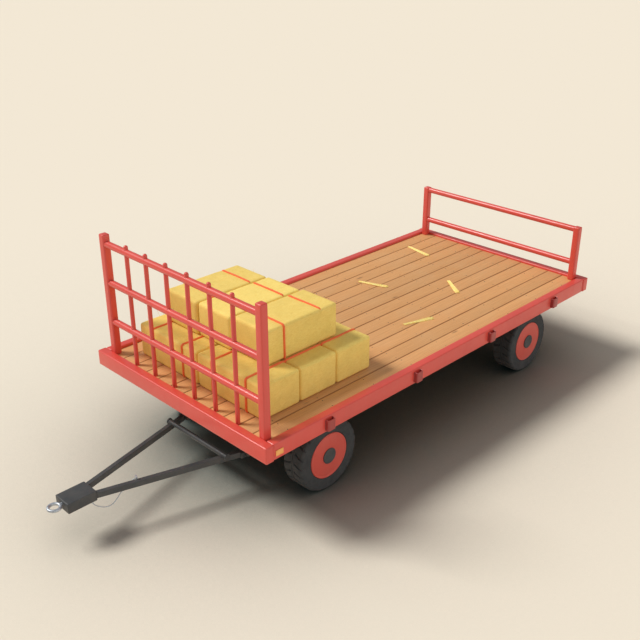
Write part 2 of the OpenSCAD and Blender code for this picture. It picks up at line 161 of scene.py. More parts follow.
def piece(name, parts, body, finish, replaces=(), smooth=True, outward=False, tints=None):
    """One object from several (points, faces) pairs. It rides on a body. outward turns its
    faces outwards, for shapes whose outline may run either way round. tints gives each part
    its own number, kept in the attribute tint, which the finish may read."""
    points, faces, shades, start = [], [], [], 0
    for index, (part_points, part_faces) in enumerate(parts):
        points.append(part_points)
        faces += [[start + k for k in face] for face in part_faces]
        shades.append(np.full(len(part_points), 0.5 if tints is None else tints[index]))
        start += len(part_points)
    mesh = bpy.data.meshes.new(name)
    mesh.from_pydata(np.concatenate(points).tolist(), [], faces)
    shade = mesh.attributes.new("tint", "FLOAT", "POINT")
    shade.data.foreach_set("value", np.concatenate(shades).astype(np.float32))
    work = bmesh.new()
    work.from_mesh(mesh)
    bmesh.ops.remove_doubles(work, verts=work.verts, dist=1e-6)
    bmesh.ops.dissolve_degenerate(work, edges=work.edges, dist=1e-7)
    if outward:
        bmesh.ops.recalc_face_normals(work, faces=work.faces)
    work.to_mesh(mesh)
    work.free()
    mesh.polygons.foreach_set("use_smooth", [smooth] * len(mesh.polygons))
    if smooth:
        mesh.set_sharp_from_angle(angle=math.radians(35))
    made = bpy.data.objects.new(name, mesh)
    bpy.context.scene.collection.objects.link(made)
    mesh.materials.append(finish)
    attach(made, body)
    if replaces:
        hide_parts(*replaces)
    return made


def grid_faces(rows, columns, round_trip=True):
    """Quads of a grid of points, row by row. round_trip joins the last column to the first."""
    i, j = np.meshgrid(np.arange(rows - 1), np.arange(columns - (not round_trip)), indexing="ij")
    k = (j + 1) % columns
    quads = np.stack([i * columns + j, i * columns + k, (i + 1) * columns + k,
                      (i + 1) * columns + j], axis=-1)
    return quads.reshape(-1, 4).tolist()


def capped_faces(rows, columns):
    """Quads of a grid that is closed round, with one face over each of its ends."""
    ends = [list(range(columns))[::-1], list(range((rows - 1) * columns, rows * columns))]
    return grid_faces(rows, columns) + ends


def round_angles(sides):
    """Angles of that many points round a circle."""
    return np.linspace(0, 2 * math.pi, sides, endpoint=False)


def tube(path, radius, sides=10, across=(0, 1, 0), closed=False, ripple=0.0, lay=0.0):
    """Tube along a path: each ring stands square to the path at one of its points, and is
    measured from the direction across, which the path never runs along. ripple swells the
    rings by that share in a rope's lay, which winds round by lay radians from ring to ring."""
    path = np.asarray(path, float)
    if closed:
        tangent = np.roll(path, -1, 0) - np.roll(path, 1, 0)
    else:
        tangent = np.gradient(path, axis=0)
    tangent /= np.linalg.norm(tangent, axis=1, keepdims=True)
    u = np.cross(np.array(across, float), tangent)
    u /= np.linalg.norm(u, axis=1, keepdims=True)
    v = np.cross(tangent, u)
    angle = round_angles(sides)
    swell = 1 + ripple * np.cos(3 * (angle[None, :] + lay * np.arange(len(path))[:, None]))
    size = np.broadcast_to(np.asarray(radius, float), (len(path),))[:, None] * swell
    points = (path[:, None, :] + size[..., None] * (
        np.cos(angle)[None, :, None] * u[:, None, :] + np.sin(angle)[None, :, None] * v[:, None, :]))
    points = points.reshape(-1, 3)
    if closed:
        return points, (np.array(grid_faces(len(path) + 1, sides)) % len(points)).tolist()
    return points, capped_faces(len(path), sides)


def smooth_path(points, steps):
    """Catmull-Rom curve: between two points, a cubic that also looks at their neighbours."""
    p = np.asarray(points, float)
    p = np.concatenate([2 * p[:1] - p[1:2], p, 2 * p[-1:] - p[-2:-1]])
    t = (np.arange(steps) / steps)[None, :, None]
    a, b, c, d = (p[k:len(p) - 3 + k, None, :] for k in range(4))
    curve = 0.5 * (2 * b + (c - a) * t + (2 * a - 5 * b + 4 * c - d) * t**2
                   + (3 * b - a - 3 * c + d) * t**3)
    return np.concatenate([curve.reshape(-1, 3), p[-2:-1]])


def galvanised(name, wear):
    """Dull zinc: a spangle of flat grey patches, with spots of grime as dark as wear says."""
    made, tree, shader = material(name, (0.50, 0.53, 0.57), 0.42, 0.75)
    where = place_of(tree)
    cells = add(tree, "TexVoronoi", Vector=where, Scale=220.0)
    spangle = ramp(tree, cells.outputs["Distance"], [(0.0, (0.44, 0.47, 0.51)), (1.0, (0.60, 0.63, 0.67))])
    darkening = ramp(tree, noise(tree, where, 35.0, 6.0), [(0.45, 0.0), (0.8, wear)])
    feed(shader, Base_Color=mix(tree, darkening, spangle, (0.16, 0.15, 0.14)),
         Roughness=ramp(tree, noise(tree, where, 60.0), [(0.3, 0.34), (0.7, 0.55)]))
    bump(tree, shader, noise(tree, where, 300.0, 3.0), 0.15, 0.0005)
    return made


zinc = galvanised("galvanised_zinc", 0.5)
cable_d = 0.008
strand_share = 0.97
route_mm = [
    (3470, 84, 309.5), (3467, 91, 298.5), (3460, 102, 288.5), (3448, 116, 279.5),
    (3431, 131, 271.5), (3410, 143, 262.5), (3386, 151, 255.5), (3360, 155, 251.5),
    (3332, 155, 251.5), (3305, 152, 257.5), (3280, 148, 269.5), (3258, 144, 284.5),
    (3236, 139, 299.5), (3212, 133, 311.5), (3186, 125, 316), (3160, 117, 324.5),
    (3136, 116, 334.5), (3114, 119, 347.5), (3094, 125, 362.5), (3076, 134, 378.5),
    (3060, 141, 392.5),
]
route = np.array(route_mm) / 1000 + [deck_middle_x, 0, 0]
cable_line = smooth_path(route, 8)
cable = piece("safety_cable_rope", [tube(cable_line, cable_d / 2 * strand_share, 12, ripple=0.06, lay=0.35)],
              "drawbar", zinc, replaces=["safety_cable"])


# ---------- deck frame ----------
# Rolled steel sections painted in red farm enamel. The two end beams run past the side
# rails, and a weld bead closes each joint.

def on_axes(axis, along, second, third):
    """Points whose places on an axis, and on the two that follow it, are given as arrays."""
    return np.roll(np.stack(np.broadcast_arrays(along, second, third), -1), axis, -1)


def middle_and_half(low, high):
    """Middle and half size of the box between two opposite corners, as arrays."""
    low, high = np.array(low, float), np.array(high, float)
    return (low + high) / 2, (high - low) / 2


def rounded_bar(low, high, axis, radius, corner=4, rings=2):
    """Bar between two opposite corners, with every edge rounded. A point of its surface is a
    corner's centre in the cross-section, plus r times a direction that turns once round the
    section. r grows from nothing to the radius over each end, as a quarter circle does."""
    middle, half = middle_and_half(low, high)
    a, b, c = axis, (axis + 1) % 3, (axis + 2) % 3
    turn = np.radians((np.arange(4)[:, None] * 90 + np.linspace(0, 90, corner + 1)).ravel())
    sign_b = np.repeat([1, -1, -1, 1], corner + 1)
    sign_c = np.repeat([1, 1, -1, -1], corner + 1)
    rise = np.radians(np.linspace(0, 90, corner + 1))
    end_place = -half[a] + radius * (1 - np.cos(rise))
    middle_place = np.linspace(-half[a] + radius, half[a] - radius, rings)[1:-1]
    place = np.concatenate([end_place, middle_place, -end_place[::-1]])
    size = np.concatenate([radius * np.sin(rise), np.full(len(middle_place), radius),
                           radius * np.sin(rise)[::-1]])
    points = on_axes(a, middle[a] + place[:, None],
                     middle[b] + sign_b * (half[b] - radius) + size[:, None] * np.cos(turn),
                     middle[c] + sign_c * (half[c] - radius) + size[:, None] * np.sin(turn))
    corners = [k * (corner + 1) for k in range(4)]
    last = (len(place) - 1) * len(turn)
    ends = [corners[::-1], [last + k for k in corners]]
    return points.reshape(-1, 3), grid_faces(len(place), len(turn)) + ends


def bead(start, end, radius=0.004):
    """Weld bead: a tube along a line, whose radius swells and shrinks as the laid drops do."""
    start, end = np.array(start, float), np.array(end, float)
    count = max(6, int(np.linalg.norm(end - start) / 0.0045))
    share = np.linspace(0, 1, count)[:, None]
    size = radius * (1 + 0.16 * np.sin(np.arange(count) * 2.1)) * np.minimum(
        1, 0.35 + 6 * np.minimum(share[:, 0], 1 - share[:, 0]))
    along = np.abs(end - start)
    return tube(start + share * (end - start), size, 6, np.eye(3)[np.argmin(along)])


def enamel(name, colour, dirt):
    """Farm enamel: slight orange peel, faint fading in broad patches, and dusty streaks and
    dark specks, as much of them as dirt says."""
    made, tree, shader = material(name, colour, 0.36)
    where = place_of(tree)
    broad = ramp(tree, noise(tree, where, 1.6, 3.0), [(0.3, 0.94), (0.7, 1.05)])
    base = mix(tree, 1.0, colour, broad, "MULTIPLY")
    streaks = noise(tree, place_of(tree, (9, 9, 1.2)), 3.0, 6.0, 0.6)
    film = ramp(tree, streaks, [(0.5, 0.0), (0.85, 0.10 * dirt)])
    base = mix(tree, film, base, (0.42, 0.33, 0.24))
    specks = ramp(tree, noise(tree, where, 140.0, 2.0), [(0.70, 0.0), (0.76, 0.35 * dirt)])
    feed(shader, Base_Color=mix(tree, specks, base, (0.20, 0.12, 0.09)),
         Roughness=ramp(tree, noise(tree, where, 12.0, 5.0), [(0.3, 0.30), (0.7, 0.44)]),
         Coat_Weight=0.25, Coat_Roughness=0.18)
    bump(tree, shader, noise(tree, where, 90.0, 2.0), 0.12, 0.0008)
    return made


red = enamel("red_enamel", (0.735, 0.077, 0.055), 0.6)
edge_r = 0.013
for node, axis, rings in (("front_beam", 1, 12), ("rear_beam", 1, 12),
                          ("left_side_rail", 0, 24), ("right_side_rail", 0, 24)):
    piece(node + "_steel", [rounded_bar(*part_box(node), axis, edge_r, 5, rings)], "chassis",
          red, [node])

seams = []
for rail, side in (("left_side_rail", 1), ("right_side_rail", -1)):
    low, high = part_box(rail)
    y = (high if side > 0 else low).y - side * 0.003
    top = high.z - 0.004
    for x in (low.x, high.x):
        seams.append(bead((x, y, low.z + 0.015), (x, y, high.z - 0.015)))
        seams.append(bead((x, low.y + 0.012, top), (x, high.y - 0.012, top), 0.0035))
piece("frame_weld_beads", seams, "chassis", red)


# ---------- deck planks ----------
# Softwood boards that run the length of the deck, screwed down to each cross member by two
# flat screws. The gaps between them are a few millimetres wide.

def bars_of(node, axis, count, gap):
    """Boxes of a node's equal bars, which lie side by side along an axis with equal gaps."""
    low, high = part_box(node)
    width = (high[axis] - low[axis] - (count - 1) * gap) / count
    boxes = []
    for k in range(count):
        first, second = low.copy(), high.copy()
        first[axis] = low[axis] + k * (width + gap)
        second[axis] = first[axis] + width
        boxes.append((first, second))
    return boxes


def plank_wood():
    """Planed softwood under oil: long grain streaks, darker growth rings drawn out along the
    board, a few knots, and a shade of its own for each board."""
    made, tree, shader = material("deck_wood", (0.62, 0.33, 0.14), 0.62)
    own = add(tree, "Attribute", attribute_name="tint").outputs["Fac"]
    where = add(tree, "TexCoord").outputs["Object"]
    amount = in_order(tree, "Math", own, 37.0, operation="MULTIPLY")
    spread = add(tree, "CombineXYZ", X=amount, Z=amount).outputs[0]
    moved = in_order(tree, "VectorMath", where, spread, operation="ADD")

    def stretched(scale):
        return add(tree, "Mapping", Vector=moved, Scale=scale).outputs["Vector"]

    rings = add(tree, "TexWave", Vector=stretched((0.55, 9.0, 9.0)), Scale=2.6, Distortion=5.0,
                Detail=3.0, Detail_Scale=1.4, bands_direction="Y").outputs["Fac"]
    grain = ramp(tree, rings, [(0.1, (0.655, 0.310, 0.112)), (0.8, (0.765, 0.396, 0.157))])
    fine = noise(tree, stretched((2.0, 120.0, 120.0)), 1.6, 4.0)
    streak = ramp(tree, fine, [(0.35, 0.90), (0.65, 1.06)])
    base = mix(tree, 1.0, grain, streak, "MULTIPLY")
    knots = add(tree, "TexVoronoi", Vector=stretched((1.3, 4.2, 1.0)), Scale=1.0, Randomness=1.0)
    knot = ramp(tree, knots.outputs["Distance"], [(0.035, 0.65), (0.085, 0.0)])
    base = mix(tree, knot, base, (0.27, 0.115, 0.04))
    tone = ramp(tree, own, [(0.0, (0.93, 0.93, 0.92)), (1.0, (1.06, 1.05, 1.04))])
    base = mix(tree, 1.0, base, tone, "MULTIPLY")
    dust = ramp(tree, noise(tree, where, 2.2, 5.0), [(0.45, 0.0), (0.8, 0.16)])
    base = mix(tree, dust, base, (0.66, 0.50, 0.30))
    # Painted shade: the colour darkens to a deep brown within about a centimetre of each seam between
    # boards.
    y = add(tree, "SeparateXYZ", Vector=where).outputs["Y"]
    first, second = (low.y for low, high in plank_boxes[:2])
    y = in_order(tree, "Math", y, plank_gap / 2 - first, operation="ADD")
    seam = in_order(tree, "Math", y, (second - first) / 2, operation="PINGPONG")
    darkening = ramp(tree, seam, [(0.0045, 0.80), (0.0115, 0.0)])
    feed(shader, Base_Color=mix(tree, darkening, base, (0.34, 0.125, 0.03)),
         Roughness=ramp(tree, fine, [(0.3, 0.70), (0.7, 0.52)]))
    bump(tree, shader, fine, 0.35, 0.0012)
    bump(tree, shader, rings, 0.12, 0.0012)
    return made


def flat_ring(up, sides, turn=0.0):
    """Directions round a level circle, counted the right way round when seen from up."""
    side = np.cross(up, [1.0, 0.1, 0.2])
    side /= np.linalg.norm(side)
    angle = round_angles(sides) + turn
    return np.cos(angle)[:, None] * side + np.sin(angle)[:, None] * np.cross(up, side)


def domes(places, radius, height, sides):
    """Low round heads: each is three rings of points over a place, one above another, and is
    closed by one point. All heads are worked out as one array."""
    up = np.array([0.0, 0.0, 1.0])
    ring = flat_ring(up, sides)
    shape = [(1.0, -0.3), (1.0, 0.45), (0.72, 0.9)]
    rows = np.concatenate([ring * radius * r + up * height * h for r, h in shape] + [[up * height]])
    points = (places[:, None, :] + rows[None, :, :]).reshape(-1, 3)
    one = grid_faces(3, sides) + [[2 * sides + k, 2 * sides + (k + 1) % sides, 3 * sides]
                                  for k in range(sides)]
    faces = [[n * len(rows) + k for k in face] for n in range(len(places)) for face in one]
    return points, faces


planks, plank_gap = 12, 0.003
plank_boxes = bars_of("deck_planks", 1, planks, plank_gap)
random = np.random.default_rng(11)
wood = plank_wood()
warp = 0.0008
boards = []
for low, high in plank_boxes:
    points, faces = rounded_bar(low, high, 0, 0.004, 3, 40)
    lift = warp * np.sin(points[:, 0] * random.uniform(1.0, 2.2) + random.uniform(0, 6))
    points[:, 2] += lift - warp
    boards.append((points, faces))
piece("deck_boards", boards, "chassis", wood, ["deck_planks"],
      tints=random.permutation(planks) / (planks - 1))

joists = 9
deck_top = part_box("deck_planks")[1].z
joist_x = deck_low.x + (np.arange(joists) + 0.5) / joists * (deck_high.x - deck_low.x)
screw_edge, screw_sink = 0.032, 0.0012
screw_y = np.array([[low.y + screw_edge, high.y - screw_edge] for low, high in plank_boxes]).ravel()
screw_places = np.stack(np.meshgrid(joist_x, screw_y, [deck_top - screw_sink], indexing="ij"), -1)
dark_steel, tree, shader = material("dull_screw_steel", (0.16, 0.13, 0.11), 0.5, 0.7)
rust = noise(tree, place_of(tree), 90.0, 4.0)
feed(shader, Base_Color=ramp(tree, rust, [(0.4, (0.18, 0.16, 0.15)), (0.7, (0.22, 0.12, 0.07))]))
piece("deck_screws", [domes(screw_places.reshape(-1, 3), 0.006, 0.0016, 8)], "chassis",
      dark_steel)


# ---------- racks ----------
# Square posts at the corners of the deck, round level rails between them, and six upright
# rods through the front rails. Every joint is welded all round and painted over.

def lathe(profile, centre, axis, sides=48, caps=False):
    """Surface of revolution: (radius, place along the axis) pairs, turned round the axis."""
    profile = np.asarray(profile, float)
    radius, along = profile[:, :1], profile[:, 1:]
    angle = round_angles(sides)
    points = on_axes(axis, along, radius * np.cos(angle), radius * np.sin(angle)).reshape(-1, 3)
    faces = capped_faces if caps else grid_faces
    return points + np.array(centre, float), faces(len(profile), sides)


def fillet(centre, axis, inner, size, sides=28):
    """Weld round a tube: a ring whose outline on the tube's wall is a low trapezium."""
    crest = size * 0.45
    profile = [(inner - 0.001, -size), (inner + crest, -crest), (inner + crest, crest),
               (inner - 0.001, size)]
    return lathe(profile, centre, axis, sides)


def post_boxes(node):
    """The two posts of a node, as boxes: one at each end of its width."""
    low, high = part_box(node)
    width = high.x - low.x
    return [(low, Vector((high.x, low.y + width, high.z))),
            (Vector((low.x, high.y - width, low.z)), high)]


def round_bar(low_end, high_end, radius, axis, nose=0.0, sides=32):
    """Round bar along an axis; nose rounds its far end by that share of the radius."""
    angle = np.radians(np.linspace(0, 90, 7))
    cap = radius * nose
    end = high_end[axis] - low_end[axis] - cap
    profile = np.column_stack([radius - cap + cap * np.cos(angle), end + cap * np.sin(angle)])
    return lathe(np.concatenate([[(radius, 0.0)], profile]), low_end, axis, sides, caps=True)


bar_r, rod_r, rods = 0.031, 0.0185, 6
middle_rail = 0.753
paint = 0.002
coat = Vector((0.006, 0.006, 0))
post_feet = []
for node in ("front_posts", "rear_posts"):
    posts = post_boxes(node)
    piece(node + "_steel", [rounded_bar(low - coat, high + coat, 2, 0.014, 5, 8) for low, high in posts],
          "chassis", red, [node])
    for low, high in posts:
        z, x0, x1, y0, y1 = low.z + 0.002, low.x + 0.004, high.x - 0.004, low.y + 0.004, high.y - 0.004
        post_feet += [bead((x0, y, z), (x1, y, z)) for y in (low.y, high.y)]
        post_feet += [bead((x, y0, z), (x, y1, z)) for x in (low.x, high.x)]
rails = {}
for node, between in (("front_rack_rails", [deck_top + middle_rail]), ("rear_rack_rails", [])):
    low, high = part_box(node)
    x = (low.x + high.x) / 2
    heights = [low.z + bar_r, *between, high.z - bar_r]
    rails[node] = x, heights
    bars = [round_bar((x, low.y, z), (x, high.y, z), bar_r + paint, 1) for z in heights]
    ends = [fillet((x, y - math.copysign(0.002, y), z), 1, bar_r, 0.007)
            for z in heights for y in (low.y, high.y)]
    piece(node + "_tube", bars + ends, "chassis", red, [node])
x, heights = rails["front_rack_rails"]
low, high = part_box("front_rack_rods")
rod_y = np.linspace(low.y + rod_r, high.y - rod_r, rods)
rod_parts = [round_bar((x, y, low.z), (x, y, high.z), rod_r + paint, 2, 1.0, 24) for y in rod_y]
rod_parts += [fillet((x, y, z + s * (bar_r - 0.001)), 2, rod_r, 0.006, 20)
              for y in rod_y for z in heights for s in (-1, 1)]
rod_parts += [fillet((x, y, low.z + 0.004), 2, rod_r, 0.005, 20) for y in rod_y]
piece("front_rack_rods_bar", rod_parts, "chassis", red, ["front_rack_rods"])
piece("post_foot_welds", post_feet, "chassis", red)


# ---------- stake pockets ----------
# Bent plate pockets, open above and below, welded to the side rails. A loose stake drops
# into each. Their paint is darker and dirtier than the rails'.

def strip_ends(rows, count):
    """Faces over both ends of a bent strip: quads between the outline's outer and inner half."""
    last = (rows - 1) * count
    quads = [[k, k + 1, count - 2 - k, count - 1 - k] for k in range(count // 2 - 1)]
    return [quad[::-1] for quad in quads] + [[last + k for k in quad] for quad in quads]


def bent_plate(centre_x, rail_y, low_z, high_z, width, depth, wall, bend):
    """Pocket: an outline that runs out from the rail, along and back, drawn twice, a wall
    apart, with round bends, and carried up from low_z to high_z."""
    side = math.copysign(1, rail_y)
    turn = np.radians(np.linspace(0, 90, 7))

    def outline(inset):
        r = max(bend - inset, 0.002)
        half, out = width / 2 - inset, depth - inset
        first = [(-half + r - r * math.cos(t), out - r + r * math.sin(t)) for t in turn]
        second = [(half - r + r * math.sin(t), out - r + r * math.cos(t)) for t in turn]
        return np.array([(-half, 0.0), *first, *second, (half, 0.0)])

    loop = np.concatenate([outline(0), outline(wall)[::-1]])
    middle = outline(wall / 2)
    middle = np.concatenate([middle, middle[::-1]])
    inset = 0.0015
    heights = np.array([low_z, low_z + inset, high_z - inset, high_z])
    shrink = np.array([inset, 0, 0, inset])[:, None, None] / (wall / 2)
    rows = loop + (middle - loop) * shrink
    points = on_axes(0, centre_x + rows[..., 0] * side, rail_y + side * rows[..., 1], heights[:, None])
    faces = grid_faces(4, len(loop)) + strip_ends(4, len(loop))
    return points.reshape(-1, 3), [face[::-1] for face in faces]


pocket_paint = enamel("pocket_enamel", (0.38, 0.036, 0.031), 1.0)
pocket_count, pocket_w, pocket_depth, pocket_wall, pocket_bend = 4, 0.09, 0.04, 0.008, 0.014
for node, side in (("left_stake_pockets", 1), ("right_stake_pockets", -1)):
    low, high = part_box(node)
    rail_y = (low if side > 0 else high).y
    weld_y = rail_y + side * 0.001
    centres = np.linspace(low.x + pocket_w / 2, high.x - pocket_w / 2, pocket_count)
    plates = [bent_plate(x, rail_y, low.z, high.z, pocket_w, pocket_depth, pocket_wall, pocket_bend)
              for x in centres]
    welds = [bead((x + e, weld_y, low.z + 0.004), (x + e, weld_y, high.z - 0.003))
             for x in centres for e in (-pocket_w / 2 - 0.001, pocket_w / 2 + 0.001)]
    piece(node + "_plate", plates + welds, "chassis", pocket_paint, [node])


# ---------- side reflectors ----------
# Moulded orange reflectors on the side rails, near the front: a smooth rim round a field of
# small prisms, held by the pressed edge.

def reflector_plastic():
    """Orange plastic with a fine square prism pattern under its smooth face."""
    made, tree, shader = material("orange_reflector", (0.93, 0.36, 0.07), 0.22)
    prisms = add(tree, "TexVoronoi", Vector=place_of(tree), Scale=210.0, Randomness=0.0,
                 distance="CHEBYCHEV").outputs["Distance"]
    base = ramp(tree, prisms, [(0.1, (1.0, 0.50, 0.13)), (0.6, (0.97, 0.38, 0.07))])
    feed(shader, Base_Color=base, Coat_Weight=0.6)
    bump(tree, shader, prisms, 0.25, 0.001)
    return made


low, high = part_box("side_reflectors")
thick, rim = 0.006, 0.007
lens_sink, lens_rise = 0.002, 0.0012
lenses = []
for y, side in ((high.y, 1), (low.y, -1)):
    y0, y1 = sorted((y, y - side * thick))
    lenses.append(rounded_bar((low.x, y0, low.z), (high.x, y1, high.z), 0, 0.0028, 4, 4))
    y0, y1 = sorted((y - side * lens_sink, y + side * lens_rise))
    lenses.append(rounded_bar((low.x + rim, y0, low.z + rim), (high.x - rim, y1, high.z - rim),
                              0, 0.0012, 3, 4))
piece("side_reflector_lenses", lenses, "chassis", reflector_plastic(),
      ["side_reflectors"])


# ---------- underframe ----------
# Black chassis steel: cross members under the planks, two main rails, and the beams that
# carry the rear springs. Bolts hold the bolsters to the rails.

def chassis_black(name, colour, dust):
    """Satin chassis paint, uneven in broad patches, under a patchy film of road dust."""
    made, tree, shader = material(name, colour, 0.5)
    where = place_of(tree)
    broad = ramp(tree, noise(tree, where, 2.5, 4.0), [(0.3, 0.85), (0.7, 1.18)])
    base = mix(tree, 1.0, colour, broad, "MULTIPLY")
    film = ramp(tree, noise(tree, where, 7.0, 7.0, 0.65), [(0.42, 0.0), (0.8, dust)])
    feed(shader, Base_Color=mix(tree, film, base, (0.30, 0.25, 0.19)),
         Roughness=ramp(tree, noise(tree, where, 18.0, 4.0), [(0.3, 0.40), (0.7, 0.62)]))
    bump(tree, shader, noise(tree, where, 110.0, 3.0), 0.16, 0.0008)
    return made


def channel(low, high, axis, depth_axis, open_sign, wall):
    """Rolled channel in the box from low to high: a web and two flanges round one open side.
    Its outline is a flat-bottomed C with slightly round corners, carried along the axis."""
    low, high = np.array(low, float), np.array(high, float)
    width_axis = 3 - axis - depth_axis
    w, d = high[width_axis] - low[width_axis], high[depth_axis] - low[depth_axis]

    def outline(inset, bend):
        a, b = inset + bend, inset + bend * 0.3
        return [(inset, d), (inset, a), (b, b), (a, inset),
                (w - a, inset), (w - b, b), (w - inset, a), (w - inset, d)]

    loop = np.array(outline(0, 0.004) + outline(wall, wall * 0.6)[::-1])
    points = np.zeros((2, len(loop), 3))
    points[..., axis] = [[low[axis]], [high[axis]]]
    points[..., width_axis] = low[width_axis] + loop[:, 0]
    points[..., depth_axis] = low[depth_axis] + (loop[:, 1] if open_sign > 0 else d - loop[:, 1])
    return points.reshape(-1, 3), grid_faces(2, len(loop)) + strip_ends(2, len(loop))


def hex_bolts(places, radius):
    """Bolt heads that point down: a thin round washer, a six-sided head and its bevelled end.
    Each is rings at (radius, height) pairs in shares of the bolt's radius."""
    down = np.array([0.0, 0.0, -1.0])
    stacks = []
    for sides, turn, shape in ((16, 0, [(1.5, -0.1), (1.5, 0.16), (1.35, 0.2)]),
                               (6, 0.3, [(1.12, 0.1), (1.12, 0.72), (0.95, 0.86)])):
        ring = flat_ring(down, sides, turn)
        rows = np.concatenate([ring * radius * r + down * radius * h for r, h in shape])
        stacks.append((rows, capped_faces(len(shape), sides)))
    return [(rows + place, faces) for place in places for rows, faces in stacks]


def repaint(finish, *nodes):
    """Gives CAD nodes a finish."""
    for node in nodes:
        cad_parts[node].data.materials.clear()
        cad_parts[node].data.materials.append(finish)


black = chassis_black("chassis_black", (0.026, 0.026, 0.028), 0.30)
repaint(black, "upper_turntable_ring", "rear_spring_rails", "rear_bolsters", "rear_axle",
        "lower_turntable_ring", "bogie_bolsters", "bogie_rails", "front_axle")

low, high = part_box("cross_members")
joist_w, joist_wall = 0.05, 0.006
joist_parts = [channel((x - joist_w / 2, low.y, low.z), (x + joist_w / 2, high.y, high.z),
                       1, 0, 1, joist_wall) for x in joist_x]
piece("cross_member_channels", joist_parts, "chassis", black, ["cross_members"],
      outward=True)
low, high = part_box("main_rails")
rail_w, rail_wall = 0.08, 0.008
rail_parts = [channel((low.x, y, low.z), (high.x, y + rail_w, high.z), 0, 1, open_sign, rail_wall)
              for y, open_sign in ((low.y, 1), (high.y - rail_w, -1))]
piece("main_rail_channels", rail_parts, "chassis", black, ["main_rails"], outward=True)

for body, bolster in (("chassis", "rear_bolsters"), ("front_bogie", "bogie_bolsters")):
    low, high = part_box(bolster)
    places = [(x, y + e, low.z) for x in (low.x + 0.04, high.x - 0.04)
              for y in (low.y + 0.055, high.y - 0.055) for e in (-0.03, 0.03)]
    piece(bolster + "_bolts", hex_bolts(np.array(places), 0.011), body, black)


# ---------- springs ----------
# Leaf springs of four tempered leaves, clamped to the axle beams by two round U-bolts each.
# The main leaf is rolled into an eye at both ends.

def leaf(centre_x, centre_y, low_z, radius, half_length, width, thickness):
    """One leaf: a strip bent to an arc about a point high above it. Its section is a
    rectangle with bevelled edges, carried along the arc."""
    swing = math.asin(half_length / radius)
    t = np.linspace(-swing, swing, 25)
    bevel = thickness * 0.25
    w, top = width / 2, thickness - bevel
    section = np.array([(-w, bevel), (-w + bevel, 0), (w - bevel, 0), (w, bevel),
                        (w, top), (w - bevel, thickness), (-w + bevel, thickness), (-w, top)])
    r = radius - section[:, 1]
    points = on_axes(0, centre_x + r * np.sin(t)[:, None], centre_y + section[:, 0],
                     low_z + radius - r * np.cos(t)[:, None])
    return points.reshape(-1, 3), capped_faces(len(t), len(section))


def u_bolt(x, y, top_z, low_z, width, radius):
    """Round bar over the spring and down both its sides, with straight legs."""
    turn = np.radians(np.linspace(180, 0, 11))[[*range(6), *range(5, 11)]]
    bend, half = 0.016, width / 2
    middle = np.repeat([y - half + bend, y + half - bend], 6)
    over = np.column_stack([middle + bend * np.cos(turn), top_z - bend + bend * np.sin(turn)])
    line = np.concatenate([[(y - half, low_z)], over, [(y + half, low_z)]])
    return tube(np.insert(line, 0, x, 1), radius, 10, (1, 0, 0))


spring_steel = chassis_black("spring_steel", (0.045, 0.043, 0.042), 0.45)
leaf_t, leaves, leaf_step, leaf_w = 0.009, 4, 0.07, 0.06
eye_r, pin_r, eye_side = 0.018, 0.0105, leaf_w / 2 - 0.002
half_beam = 0.04
for body, node, axle in (("front_bogie", "front_springs", "front_axle"),
                         ("chassis", "rear_springs", "rear_axle")):
    low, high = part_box(node)
    axle_low, axle_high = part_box(axle)
    x = (low.x + high.x) / 2
    span = (high.x - low.x) / 2 - eye_r
    eye_z = high.z - eye_r
    main_low = (axle_low.z + axle_high.z) / 2 + half_beam + (leaves - 1) * leaf_t
    main_top = main_low + leaf_t
    rise = eye_z - eye_r - main_low
    radius = (span**2 + rise**2) / (2 * rise)
    parts = []
    for y in (low.y + leaf_w / 2, high.y - leaf_w / 2):
        parts += [leaf(x, y, main_low - k * leaf_t, radius + k * leaf_t, span - k * leaf_step,
                       leaf_w - 0.002, leaf_t - 0.0004) for k in range(leaves)]
        ring = [(eye_r, -eye_side), (eye_r, eye_side), (pin_r, eye_side), (pin_r, -eye_side),
                (eye_r, -eye_side)]
        parts += [lathe(ring, (eye_x, y, eye_z), 1, 28) for eye_x in (x - span, x + span)]
        parts.append(rounded_bar((x - 0.055, y - 0.04, main_top + 0.0005),
                                 (x + 0.055, y + 0.04, main_top + 0.012), 0, 0.003, 2, 2))
        parts += [u_bolt(x + e, y, main_top + 0.026, axle_low.z, leaf_w + 0.018, 0.007)
                  for e in (-0.034, 0.034)]
    piece(node + "_leaves", parts, body, spring_steel, [node], outward=True)


# ---------- wheels ----------
# Implement tyres with blocky treads on welded steel disc wheels. The disc is flush with the
# tyre's side and painted red, and a flat dark cap covers the hub.

